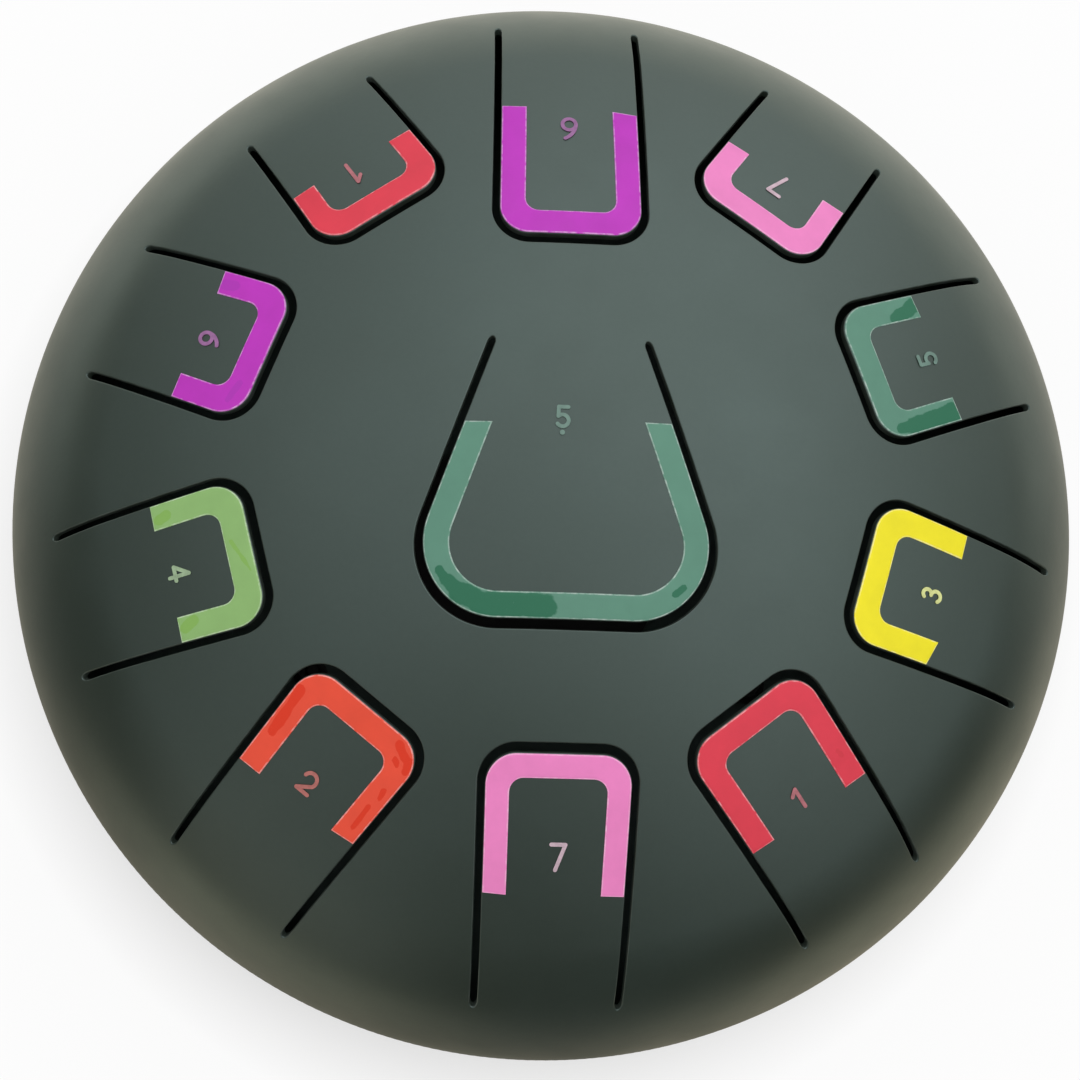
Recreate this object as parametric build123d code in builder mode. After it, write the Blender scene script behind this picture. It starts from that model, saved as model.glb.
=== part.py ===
"""Steel tongue drum: two dished steel shells welded at the rim, with tongues cut into the upper one.

Millimetres, +Z up. The origin is on the floor under the drum's axis, and -Y faces the player.
Each tongue is held along its root line and flexes there. It carries a U-shaped vinyl band
around its free end and a vinyl numeral. The lower shell has a sound port and three rubber feet.
"""

import os
from dataclasses import dataclass
from math import asin, atan2, cos, degrees, radians, sin, sqrt

from build123d import *

# Shells
DRUM_DIAMETER = 254.0
SHEET = 1.8
UPPER_RISE = 70.0
UPPER_SHOULDER_RADIUS = 50.0
LOWER_DEPTH = 58.0
LOWER_SHOULDER_RADIUS = 44.0
FLOOR_CLEARANCE = 6.0
PORT_DIAMETER = 70.0
PORT_EDGE_FILLET = 0.6

# Weld between the shells
WELD_WIDTH = 2.4
WELD_DEPTH = 1.2
WELD_CROWN = 0.15

# Slits and tongue roots
SIDE_SLIT = 1.6
TIP_SLIT = 2.1
ROOT_RELIEF_ANGLE = 1.5

# Outer tongues
TONGUE_TIP_WIDTH = 32.0
TONGUE_ROOT_WIDTH = 30.6
TONGUE_CORNER_RADIUS = 6.7

# Centre tongue
CENTRE_TIP_WIDTH = 75.4
CENTRE_ROOT_WIDTH = 32.8
CENTRE_CORNER_RADIUS = 16.4
CENTRE_TIP_FROM_AXIS = 32.4
CENTRE_ROOT_FROM_AXIS = 28.1

# Vinyl bands and numerals
VINYL = 0.2
ADHESIVE = 0.03
BAND_INSET = 0.2
BAND_WIDTH = 5.6
BAND_INNER_CORNER = 3.0
CENTRE_BAND_INNER_CORNER = 10.5
NUMERAL_HEIGHT = 5.2
TALL_NUMERAL_HEIGHT = 6.2
NUMERAL_WIDTH = 3.9
NUMERAL_STROKE = 0.85
OCTAVE_DOT_DIAMETER = 1.1
OCTAVE_DOT_GAP = 0.35

# Rubber feet and their fasteners
FOOT_ANGLES = {"foot_back": 90.0, "foot_left": 210.0, "foot_right": 330.0}
FOOT_CIRCLE_RADIUS = 66.0
FOOT_TOP_DIAMETER = 24.0
FOOT_TAPER_ANGLE = 4.0
FOOT_EDGE_FILLET = 1.0
FOOT_RECESS_DIAMETER = 10.0
FOOT_WEB = 6.0
SCREW_DIAMETER = 4.0
SCREW_HEAD_DIAMETER = 8.0
SCREW_HEAD_HEIGHT = 3.0
SCREW_HEAD_FILLET = 1.4
SCREW_STANDOUT = 1.0
CROSS_WIDTH = 0.9
CROSS_LENGTH = 4.2
CROSS_DEPTH = 1.5
WASHER_DIAMETER = 9.0
WASHER_THICKNESS = 0.8
NUT_ACROSS_FLATS = 7.0
NUT_HEIGHT = 3.2
HOLE_CLEARANCE = 0.25
THREAD_CLEARANCE = 0.05
SEAT_CLEARANCE = 0.02

# Sizes that follow from those above, and how far cutting shapes run past what they cut
DRUM_RADIUS = DRUM_DIAMETER / 2
RIM_Z = FLOOR_CLEARANCE + LOWER_DEPTH
CUT_HEIGHT = 1.1 * UPPER_RISE
CUT_THROUGH = 4 * SHEET
ROOT_OVERRUN = 4 * SHEET

# Section planes with x along the radius and y from the rim towards each crown
UPPER_SECTION = Plane(origin=(0, 0, RIM_Z), x_dir=(1, 0, 0), z_dir=(0, -1, 0))
LOWER_SECTION = Plane(origin=(0, 0, RIM_Z), x_dir=(1, 0, 0), z_dir=(0, 1, 0))


@dataclass
class Dish:
    """A round dished head: a spherical crown that runs tangent into a shoulder, upright at the rim."""

    radius: float
    rise: float
    shoulder: float

    @property
    def shoulder_centre(self):
        """Distance of the shoulder arc's centre from the axis; it lies level with the rim."""
        return self.radius - self.shoulder

    @property
    def crown(self):
        """Radius of the spherical crown."""
        chord = self.shoulder_centre**2 + self.rise**2 - self.shoulder**2
        return chord / (2 * (self.rise - self.shoulder))

    @property
    def crown_angle(self):
        """Angle from the axis, in degrees, at which the crown meets the shoulder."""
        return degrees(asin(self.shoulder_centre / (self.crown - self.shoulder)))

    def surface(self, distance):
        """Height above the rim, and slope from level in degrees, at a distance from the axis."""
        if distance < self.crown * sin(radians(self.crown_angle)):
            slope = asin(distance / self.crown)
            height = self.rise - self.crown * (1 - cos(slope))
        else:
            slope = asin((distance - self.shoulder_centre) / self.shoulder)
            height = self.shoulder * cos(slope)
        return height, degrees(slope)


UPPER = Dish(DRUM_RADIUS, UPPER_RISE, UPPER_SHOULDER_RADIUS)
LOWER = Dish(DRUM_RADIUS, LOWER_DEPTH, LOWER_SHOULDER_RADIUS)


@dataclass
class Tongue:
    """One tongue in plan. Positions run along its own line, at an angle from +X, out from the axis."""

    name: str
    numeral: int
    angle: float
    tip: float
    root: float
    tip_width: float
    root_width: float
    corner: float
    band_reach: float
    band_inner_corner: float
    numeral_from_tip: float
    numeral_to_right: float = 0.0
    numeral_height: float = NUMERAL_HEIGHT
    numeral_top_at_tip: bool = True
    low_octave_dot: bool = False

    @property
    def plan(self):
        """Level plane with x along the tongue from tip to root."""
        return Plane(
            origin=(0, 0, RIM_Z),
            x_dir=(cos(radians(self.angle)), sin(radians(self.angle)), 0),
            z_dir=(0, 0, 1),
        )

    @property
    def taper(self):
        """Angle in radians between each side and the tongue's line."""
        return atan2((self.tip_width - self.root_width) / 2, self.root - self.tip)

    def half_width(self, position, grow):
        """Half the width at a position, with each side moved outwards by grow."""
        along = (self.root - position) / (self.root - self.tip)
        plain = self.root_width + (self.tip_width - self.root_width) * along
        return plain / 2 + grow / cos(self.taper)

    @property
    def numeral_plane(self):
        """Level plane for the numeral, with y towards its top."""
        along = Vector(self.plan.x_dir)
        to_right = Vector(self.plan.y_dir)
        if not self.numeral_top_at_tip:
            to_right = to_right * -1
        centre = Vector(self.plan.origin) + along * (self.tip + self.numeral_from_tip)
        return Plane(
            origin=centre + to_right * self.numeral_to_right,
            x_dir=to_right,
            z_dir=(0, 0, 1),
        )

    def root_plane(self, relief=0.0):
        """Plane through the root line, square to the shell, leaning back towards the tip by relief degrees.

        Its x axis is the root line and its z axis points along the shell, away from the tip.
        """
        height, slope = UPPER.surface(self.root)
        lean = radians(slope + relief)
        run = Vector(self.plan.x_dir)
        across = Vector(self.plan.y_dir)
        down_the_shell = run * cos(lean) - Vector(0, 0, 1) * sin(lean)
        point = run * self.root + Vector(0, 0, RIM_Z + height)
        return Plane(origin=point, x_dir=across, z_dir=down_the_shell)


def outer_tongue(name, numeral, angle, rim_margin, length, band_reach, **numeral_place):
    """An outer tongue, rooted at rim_margin inside the rim and pointing at the axis."""
    root = DRUM_RADIUS - rim_margin
    return Tongue(
        name=name,
        numeral=numeral,
        angle=angle,
        tip=root - length,
        root=root,
        tip_width=TONGUE_TIP_WIDTH,
        root_width=TONGUE_ROOT_WIDTH,
        corner=TONGUE_CORNER_RADIUS,
        band_reach=band_reach,
        band_inner_corner=BAND_INNER_CORNER,
        **numeral_place,
    )


TONGUES = [
    Tongue(
        name="low_5",
        numeral=5,
        angle=90.0,
        tip=-CENTRE_TIP_FROM_AXIS,
        root=CENTRE_ROOT_FROM_AXIS,
        tip_width=CENTRE_TIP_WIDTH,
        root_width=CENTRE_ROOT_WIDTH,
        corner=CENTRE_CORNER_RADIUS,
        band_reach=42.4,
        band_inner_corner=CENTRE_BAND_INNER_CORNER,
        numeral_from_tip=43.8,
        numeral_to_right=-1.6,
        numeral_top_at_tip=False,
        low_octave_dot=True,
    ),
    outer_tongue(
        "low_6",
        6,
        90.0,
        rim_margin=16.1,
        length=56.7,
        band_reach=33.2,
        numeral_from_tip=27.6,
        numeral_to_right=0.2,
        numeral_height=TALL_NUMERAL_HEIGHT,
    ),
    outer_tongue(
        "low_7",
        7,
        -90.0,
        rim_margin=13.7,
        length=53.0,
        band_reach=29.9,
        numeral_from_tip=21.8,
        numeral_to_right=0.5,
        numeral_height=TALL_NUMERAL_HEIGHT,
    ),
    outer_tongue(
        "1",
        1,
        -51.7,
        rim_margin=13.5,
        length=49.9,
        band_reach=27.2,
        numeral_from_tip=22.8,
        numeral_to_right=-0.5,
    ),
    outer_tongue(
        "2",
        2,
        231.7,
        rim_margin=13.4,
        length=47.9,
        band_reach=25.6,
        numeral_from_tip=20.4,
        numeral_to_right=-0.4,
    ),
    outer_tongue(
        "3",
        3,
        -14.7,
        rim_margin=14.1,
        length=44.1,
        band_reach=22.2,
        numeral_from_tip=17.0,
        numeral_to_right=-0.5,
    ),
    outer_tongue(
        "4",
        4,
        194.7,
        rim_margin=15.4,
        length=42.1,
        band_reach=19.8,
        numeral_from_tip=16.9,
        numeral_to_right=0.6,
    ),
    outer_tongue(
        "5",
        5,
        21.2,
        rim_margin=16.5,
        length=39.9,
        band_reach=20.5,
        numeral_from_tip=17.9,
        numeral_to_right=-0.1,
    ),
    outer_tongue(
        "6",
        6,
        158.8,
        rim_margin=19.5,
        length=36.9,
        band_reach=17.3,
        numeral_from_tip=13.9,
        numeral_to_right=0.7,
    ),
    outer_tongue(
        "7",
        7,
        55.8,
        rim_margin=20.4,
        length=34.2,
        band_reach=17.0,
        numeral_from_tip=13.5,
        numeral_to_right=0.1,
        numeral_height=TALL_NUMERAL_HEIGHT,
    ),
    outer_tongue(
        "high_1",
        1,
        124.2,
        rim_margin=22.0,
        length=32.7,
        band_reach=15.6,
        numeral_from_tip=12.7,
        numeral_to_right=0.9,
        numeral_height=TALL_NUMERAL_HEIGHT,
    ),
]


def dish_layer(dish, section, inner, outer):
    """Solid between two surfaces offset from a dish's outside, drawn on a section plane."""
    join = 90 - dish.crown_angle
    crown_centre = dish.rise - dish.crown
    with BuildPart() as layer:
        with BuildSketch(section):
            with BuildLine():
                for skin in (inner, outer):
                    CenterArc((dish.shoulder_centre, 0), dish.shoulder + skin, 0, join)
                    CenterArc((0, crown_centre), dish.crown + skin, join, dish.crown_angle)
                Line((dish.radius + inner, 0), (dish.radius + outer, 0))
                Line((0, dish.rise + inner), (0, dish.rise + outer))
            make_face()
        revolve(axis=Axis.Z)
    return layer.part


def tongue_outline(tongue, side_grow, tip_grow, corner, end):
    """Outline in plan from the tip to an end position, with the sides and the tip moved outwards."""
    tip = tongue.tip - tip_grow
    with BuildSketch(tongue.plan) as outline:
        with BuildLine():
            Polyline(
                (end, tongue.half_width(end, side_grow)),
                (tip, tongue.half_width(tip, side_grow)),
                (tip, -tongue.half_width(tip, side_grow)),
                (end, -tongue.half_width(end, side_grow)),
                close=True,
            )
        make_face()
        fillet(outline.vertices().group_by(Axis.X)[0], corner)
    return outline.sketch


def tongue_opening(tongue):
    """What is cut from the shell for a tongue: its outline with the slits, ending square at the root."""
    outline = tongue_outline(
        tongue, SIDE_SLIT, TIP_SLIT, tongue.corner + SIDE_SLIT, tongue.root + ROOT_OVERRUN
    )
    with BuildPart() as opening:
        extrude(outline, amount=CUT_HEIGHT)
        split(bisect_by=tongue.root_plane(), keep=Keep.BOTTOM)
    return opening.part


def slit_ends(tongue):
    """Round ends of a tongue's two side slits, square to the shell at the root."""
    root = tongue.root_plane()
    reach = tongue.half_width(tongue.root, SIDE_SLIT / 2)
    ends = [Plane(origin=root.from_local_coords((side * reach, 0, 0)), z_dir=root.y_dir) for side in (-1, 1)]
    with BuildPart() as drilled:
        with BuildSketch(*ends):
            Circle(SIDE_SLIT / 2)
        extrude(amount=CUT_THROUGH, both=True)
    return drilled.part


def tongue_blade(tongue, sheet_layer):
    """The tongue itself: its outline out of the sheet, relieved behind the root line so that it can flex."""
    outline = tongue_outline(tongue, 0, 0, tongue.corner, tongue.root + ROOT_OVERRUN)
    with BuildPart() as blade:
        extrude(outline, amount=CUT_HEIGHT)
        add(sheet_layer, mode=Mode.INTERSECT)
        split(bisect_by=tongue.root_plane(ROOT_RELIEF_ANGLE), keep=Keep.BOTTOM)
    return blade.part


def vinyl_band(tongue, vinyl_layer):
    """U-shaped band just inside the tongue's edge, from one arm round the tip to the other."""
    end = tongue.tip + tongue.band_reach
    inner_grow = -(BAND_INSET + BAND_WIDTH)
    outside = tongue_outline(tongue, -BAND_INSET, -BAND_INSET, tongue.corner - BAND_INSET, end)
    inside = tongue_outline(tongue, inner_grow, inner_grow, tongue.band_inner_corner, end + BAND_WIDTH)
    with BuildPart() as band:
        extrude(outside, amount=CUT_HEIGHT)
        extrude(inside, amount=CUT_HEIGHT, mode=Mode.SUBTRACT)
        add(vinyl_layer, mode=Mode.INTERSECT)
    return band.part


def numeral_strokes(number, height):
    """Centrelines of a plain stroked numeral, upright about its middle."""
    tall = (height - NUMERAL_STROKE) / 2
    wide = (NUMERAL_WIDTH - NUMERAL_STROKE) / 2
    if number == 1:
        return [Polyline((-0.6 * wide, 0.5 * tall), (0.3 * wide, tall), (0.3 * wide, -tall))]
    if number == 2:
        top = CenterArc((0, tall - wide), wide, -35, 200)
        return [top, Polyline(top @ 0, (-wide, -tall), (wide, -tall))]
    if number == 3:
        upper = 0.46 * tall
        lower = tall - upper
        return [
            CenterArc((0, tall - upper), upper, -90, 235),
            CenterArc((0, lower - tall), lower, -145, 235),
        ]
    if number == 4:
        return [
            Polyline((0.4 * wide, tall), (-wide, -0.4 * tall), (wide, -0.4 * tall)),
            Line((0.4 * wide, tall), (0.4 * wide, -tall)),
        ]
    if number == 5:
        bowl_radius = 0.60 * tall
        bowl = CenterArc((0, bowl_radius - tall), bowl_radius, -145, 280)
        return [bowl, Polyline(bowl @ 1, (-0.55 * wide, tall), (0.8 * wide, tall))]
    if number == 6:
        loop_radius = min(wide, 0.62 * tall)
        loop_centre = loop_radius - tall
        return [
            CenterArc((0, loop_centre), loop_radius, 0, 180),
            CenterArc((0, loop_centre), loop_radius, 180, 180),
            ThreePointArc((-loop_radius, loop_centre), (-0.5 * wide, 0.45 * tall), (0.6 * wide, tall)),
        ]
    return [Polyline((-wide, tall), (wide, tall), (-0.3 * wide, -tall))]


def vinyl_numeral(tongue, vinyl_layer):
    """Stroked numeral with round stroke ends, and the dot under it that marks the low octave."""
    strokes = numeral_strokes(tongue.numeral, tongue.numeral_height)
    with BuildSketch(tongue.numeral_plane) as shape:
        for edge in [edge for stroke in strokes for edge in stroke.edges()]:
            if edge.geom_type == GeomType.LINE:
                SlotCenterPoint(edge @ 0.5, edge @ 1, NUMERAL_STROKE)
            else:
                SlotArc(edge, NUMERAL_STROKE)
        if tongue.low_octave_dot:
            drop = tongue.numeral_height / 2 + OCTAVE_DOT_GAP + OCTAVE_DOT_DIAMETER / 2
            with Locations((0, -drop)):
                Circle(OCTAVE_DOT_DIAMETER / 2)
    with BuildPart() as numeral:
        extrude(shape.sketch, amount=CUT_HEIGHT)
        add(vinyl_layer, mode=Mode.INTERSECT)
    return numeral.part


# Weld bead: a V between the shells with a slightly crowned face
with BuildPart() as rim_weld:
    with BuildSketch(UPPER_SECTION):
        with BuildLine():
            Polyline(
                (DRUM_RADIUS, WELD_WIDTH / 2), (DRUM_RADIUS - WELD_DEPTH, 0), (DRUM_RADIUS, -WELD_WIDTH / 2)
            )
            ThreePointArc(
                (DRUM_RADIUS, WELD_WIDTH / 2), (DRUM_RADIUS + WELD_CROWN, 0), (DRUM_RADIUS, -WELD_WIDTH / 2)
            )
        make_face()
    revolve(axis=Axis.Z)

# Upper shell: the dished sheet with its tongue openings
upper_sheet = dish_layer(UPPER, UPPER_SECTION, -SHEET, 0)
openings = [tongue_opening(tongue) for tongue in TONGUES]
drilled_ends = [slit_ends(tongue) for tongue in TONGUES]
with BuildPart() as upper_shell:
    add(upper_sheet)
    add(openings, mode=Mode.SUBTRACT)
    add(drilled_ends, mode=Mode.SUBTRACT)
    add(rim_weld.part, mode=Mode.SUBTRACT)

# Frames on the outside of the lower shell, one for each foot, with z pointing out of the shell
foot_height, foot_slope = LOWER.surface(FOOT_CIRCLE_RADIUS)
foot_planes = {}
for name, angle in FOOT_ANGLES.items():
    outwards = Vector(cos(radians(angle)), sin(radians(angle)), 0)
    foot_planes[name] = Plane(
        origin=outwards * FOOT_CIRCLE_RADIUS + Vector(0, 0, RIM_Z - foot_height),
        x_dir=Vector(0, 0, 1).cross(outwards),
        z_dir=outwards * sin(radians(foot_slope)) - Vector(0, 0, 1) * cos(radians(foot_slope)),
    )

# Lower shell: the dished sheet with the sound port and the screw holes
lower_sheet = dish_layer(LOWER, LOWER_SECTION, -SHEET, 0)
with BuildPart() as lower_shell:
    add(lower_sheet)
    with BuildSketch(Plane.XY):
        Circle(PORT_DIAMETER / 2)
    extrude(amount=RIM_Z, mode=Mode.SUBTRACT)
    port_edges = lower_shell.edges().filter_by(GeomType.CIRCLE)
    fillet(port_edges.filter_by(lambda edge: abs(edge.radius - PORT_DIAMETER / 2) < 0.01), PORT_EDGE_FILLET)
    with BuildSketch(*foot_planes.values()):
        Circle(SCREW_DIAMETER / 2 + HOLE_CLEARANCE)
    extrude(amount=CUT_THROUGH, both=True, mode=Mode.SUBTRACT)
    add(rim_weld.part, mode=Mode.SUBTRACT)

# Rubber feet: cones square to the shell, cut level at the floor, with a recess for the screw head
foot_length = 2 * (RIM_Z - foot_height)
feet = {}
for name, plane in foot_planes.items():
    with BuildPart() as foot:
        with BuildSketch(plane):
            Circle(FOOT_TOP_DIAMETER / 2)
        extrude(amount=foot_length, taper=-FOOT_TAPER_ANGLE)
        split(bisect_by=Plane.XY, keep=Keep.TOP)
        fillet(foot.faces().sort_by(Axis.Z)[0].outer_wire().edges(), FOOT_EDGE_FILLET)
        with BuildSketch(plane):
            Circle(SCREW_DIAMETER / 2 + HOLE_CLEARANCE)
        extrude(amount=foot_length, mode=Mode.SUBTRACT)
        with BuildSketch(plane.offset(FOOT_WEB)):
            Circle(FOOT_RECESS_DIAMETER / 2)
        extrude(amount=foot_length, mode=Mode.SUBTRACT)
    feet[name] = foot.part

# Seat of the washers on the hollow side of the lower shell
lower_inside = LOWER.crown - SHEET
washer_sag = lower_inside - sqrt(lower_inside**2 - (WASHER_DIAMETER / 2) ** 2)
washer_seat = SHEET + washer_sag + SEAT_CLEARANCE
nut_seat = washer_seat + WASHER_THICKNESS
screw_length = FOOT_WEB + nut_seat + NUT_HEIGHT + SCREW_STANDOUT

with BuildPart() as screw:
    with BuildSketch(Plane.XY.offset(FOOT_WEB)):
        Circle(SCREW_HEAD_DIAMETER / 2)
    extrude(amount=SCREW_HEAD_HEIGHT)
    fillet(screw.edges().sort_by(Axis.Z)[-1], SCREW_HEAD_FILLET)
    with BuildSketch(Plane.XY.offset(FOOT_WEB + SCREW_HEAD_HEIGHT)):
        Rectangle(CROSS_LENGTH, CROSS_WIDTH)
        Rectangle(CROSS_WIDTH, CROSS_LENGTH)
    extrude(amount=-CROSS_DEPTH, mode=Mode.SUBTRACT)
    with BuildSketch(Plane.XY.offset(FOOT_WEB)):
        Circle(SCREW_DIAMETER / 2)
    extrude(amount=-screw_length)
    chamfer(screw.edges().sort_by(Axis.Z)[0], SCREW_STANDOUT / 2)

with BuildPart() as washer:
    with BuildSketch(Plane.XY.offset(-washer_seat)):
        Circle(WASHER_DIAMETER / 2)
        Circle(SCREW_DIAMETER / 2 + HOLE_CLEARANCE / 2, mode=Mode.SUBTRACT)
    extrude(amount=-WASHER_THICKNESS)

with BuildPart() as nut:
    with BuildSketch(Plane.XY.offset(-nut_seat)):
        RegularPolygon(NUT_ACROSS_FLATS / 2, 6, major_radius=False)
        Circle(SCREW_DIAMETER / 2 + THREAD_CLEARANCE, mode=Mode.SUBTRACT)
    extrude(amount=-NUT_HEIGHT)

with BuildPart() as foot_screws:
    with Locations(*foot_planes.values()):
        add(screw.part)

with BuildPart() as foot_washers:
    with Locations(*foot_planes.values()):
        add(washer.part)

with BuildPart() as foot_nuts:
    with Locations(*foot_planes.values()):
        add(nut.part)

pieces = {
    "upper_shell": upper_shell.part,
    "lower_shell": lower_shell.part,
    "rim_weld": rim_weld.part,
    **feet,
    "foot_screws": foot_screws.part,
    "foot_washers": foot_washers.part,
    "foot_nuts": foot_nuts.part,
}

vinyl_skin = dish_layer(UPPER, UPPER_SECTION, ADHESIVE, ADHESIVE + VINYL)
for tongue in TONGUES:
    pieces["tongue_" + tongue.name] = tongue_blade(tongue, upper_sheet)
    pieces["band_" + tongue.name] = vinyl_band(tongue, vinyl_skin)
    pieces["numeral_" + tongue.name] = vinyl_numeral(tongue, vinyl_skin)

os.makedirs("parts", exist_ok=True)
for name, solid in pieces.items():
    solid.label = name
    export_step(solid, "parts/" + name + ".step")
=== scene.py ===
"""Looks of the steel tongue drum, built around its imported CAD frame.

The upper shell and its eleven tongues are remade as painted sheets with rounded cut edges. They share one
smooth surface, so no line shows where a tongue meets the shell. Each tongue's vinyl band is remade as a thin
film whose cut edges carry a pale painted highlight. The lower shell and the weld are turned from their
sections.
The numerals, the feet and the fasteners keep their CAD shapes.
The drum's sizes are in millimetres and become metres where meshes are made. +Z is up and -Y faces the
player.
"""

import math
from dataclasses import dataclass

import bpy
import numpy as np
from mathutils import Matrix, Vector
from mathutils.geometry import delaunay_2d_cdt
from mathutils.kdtree import KDTree


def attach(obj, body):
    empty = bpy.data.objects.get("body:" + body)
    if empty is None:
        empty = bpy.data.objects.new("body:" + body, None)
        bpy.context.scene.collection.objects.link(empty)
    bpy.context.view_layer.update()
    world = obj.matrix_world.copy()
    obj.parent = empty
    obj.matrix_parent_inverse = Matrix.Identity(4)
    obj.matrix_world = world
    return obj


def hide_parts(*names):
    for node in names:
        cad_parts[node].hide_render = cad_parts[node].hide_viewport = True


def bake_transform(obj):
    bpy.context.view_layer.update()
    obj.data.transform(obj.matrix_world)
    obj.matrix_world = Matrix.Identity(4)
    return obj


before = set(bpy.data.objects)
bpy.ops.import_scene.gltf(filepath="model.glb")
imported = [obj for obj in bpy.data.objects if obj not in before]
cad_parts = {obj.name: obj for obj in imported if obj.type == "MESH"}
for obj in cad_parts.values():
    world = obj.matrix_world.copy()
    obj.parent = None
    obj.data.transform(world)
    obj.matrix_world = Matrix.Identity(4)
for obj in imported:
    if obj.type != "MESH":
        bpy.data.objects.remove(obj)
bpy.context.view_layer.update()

MM = 0.001

# Shells
DRUM_RADIUS = 127.0
SHEET = 1.8
UPPER_RISE = 70.0
UPPER_SHOULDER = 50.0
LOWER_DEPTH = 58.0
LOWER_SHOULDER = 44.0
RIM_Z = 64.0
PORT_RADIUS = 35.0
PORT_EDGE = 0.6

# Weld bead at the rim
WELD_WIDTH = 2.4
WELD_DEPTH = 1.2
WELD_CROWN = 0.12
WELD_RIPPLE = 0.03
WELD_RIPPLES = 360
WELD_CROWN_POINTS = 7
STEPS_PER_RIPPLE = 6

# Slits and their rounded cut edges. SLIT_POINT lengthens a slit's round end, and SLIT_POINT_POWER sharpens it
SIDE_SLIT = 1.6
TIP_SLIT = 2.1
SLIT_POINT = 1.6
SLIT_POINT_POWER = 1.3
CUT_EDGE = 0.3

# Share of a tongue's length, from its root, in which it bends
BEND_SHARE = 0.3

# Vinyl
VINYL = 0.2
ADHESIVE = 0.03
BAND_INSET = 0.2
BAND_WIDTH = 5.6
VINYL_BEVEL = 0.3

# A point on the bevel's rounded side, as shares of the bevel's width and the film's thickness
BEVEL_SIDE_INSET = 0.2
BEVEL_SIDE_HEIGHT = 0.6

# A dark patch fades out at this many of its half widths
PATCH_REACH = 1.5

# How finely the meshes are divided
SHELL_STEP = 2.4
TONGUE_STEP = 2.0
BAND_STEP = 0.7
EDGE_STEP = 1.0
CORNER_STEP = 0.5
MIN_CORNER_STEPS = 8
SLIT_END_STEPS = 8
RIM_STEPS = 480
LATHE_STEPS = 240
LOWER_ARC_STEPS = 64

# Grid points keep this share of a step clear of the edges
EDGE_CLEARANCE = 0.6

# Keeps sharp corners of a shrunk outline from moving too far
MITRE_LIMIT = 0.5

# Edges that turn by more than this many degrees are shaded sharp
LATHE_SHARP = 50
FILM_SHARP = 25

# Lengths and areas below these count as nothing
TINY = 1e-9
MERGE_DISTANCE = 1e-7

# Linear colours
PAINT_GREEN = (0.0200, 0.0265, 0.0176, 1)
PAINT_BLUE = (0.0230, 0.0320, 0.0240, 1)
PAINT_EDGE = (0.055, 0.066, 0.058, 1)
PAINT_SHEEN = (0.76, 1.0, 0.98, 1)
RUBBER_BLACK = 0.016
RUBBER_BLOOM = 0.030
DUST = (0.11, 0.10, 0.09, 1)
OXIDE_BLUE = (0.030, 0.031, 0.034, 1)
OXIDE_BROWN = (0.062, 0.060, 0.056, 1)
VINYL_COLOURS = {
    "vinyl_red": (0.762, 0.044, 0.076),
    "vinyl_orange": (0.845, 0.076, 0.034),
    "vinyl_yellow": (0.950, 0.835, 0.012),
    "vinyl_light_green": (0.277, 0.495, 0.168),
    "vinyl_green": (0.108, 0.272, 0.195),
    "vinyl_purple": (0.530, 0.029, 0.530),
    "vinyl_pink": (0.890, 0.244, 0.578),
}
# Numeral films, paler than the bands: their own tint with a painted glint mixed in
NUMERAL_COLOURS_WITH_GLINT = {
    "vinyl_red": (0.51, 0.175, 0.200),
    "vinyl_orange": (0.51, 0.170, 0.150),
    "vinyl_yellow": (0.78, 0.82, 0.33),
    "vinyl_light_green": (0.36, 0.50, 0.31),
    "vinyl_green": (0.17, 0.28, 0.235),
    "vinyl_purple": (0.36, 0.155, 0.36),
    "vinyl_pink": (0.68, 0.50, 0.58),
}
WET_COLOURS = {
    "vinyl_red": (0.66, 0.036, 0.060),
    "vinyl_orange": (0.736, 0.033, 0.005),
    "vinyl_yellow": (0.80, 0.64, 0.004),
    "vinyl_light_green": (0.235, 0.450, 0.100),
    "vinyl_green": (0.020, 0.150, 0.080),
    "vinyl_purple": (0.44, 0.028, 0.47),
    "vinyl_pink": (0.74, 0.16, 0.48),
}

# How much paler than its face the film's cut edge gets, as a share of the way to white: a painted highlight
CUT_HIGHLIGHT_PALENESS = 0.32

# Gloss of the paint and the film
PAINT_IOR = 1.8
VINYL_GLOSS = 0.35

# Heights of the fine relief in the materials, and of the dust on the feet, in metres
ORANGE_PEEL = 0.000012
PAINT_SPECKS = 0.000004
FILM_RIPPLE = 0.00005
FILM_GRAIN = 0.000008
CUT_GRAIN = 0.00001
RUBBER_GRAIN = 0.00003
STEEL_GRAIN = 0.000008
DUST_HEIGHT = 0.003

# Most noise values lie in this span
NOISE_SPAN = (0.3, 0.7)

# Places of the Mix node's colour sockets, which share their names with its other sockets
MIX_SHARE = 0
MIX_FIRST = 6
MIX_SECOND = 7
MIX_RESULT = 2


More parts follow.
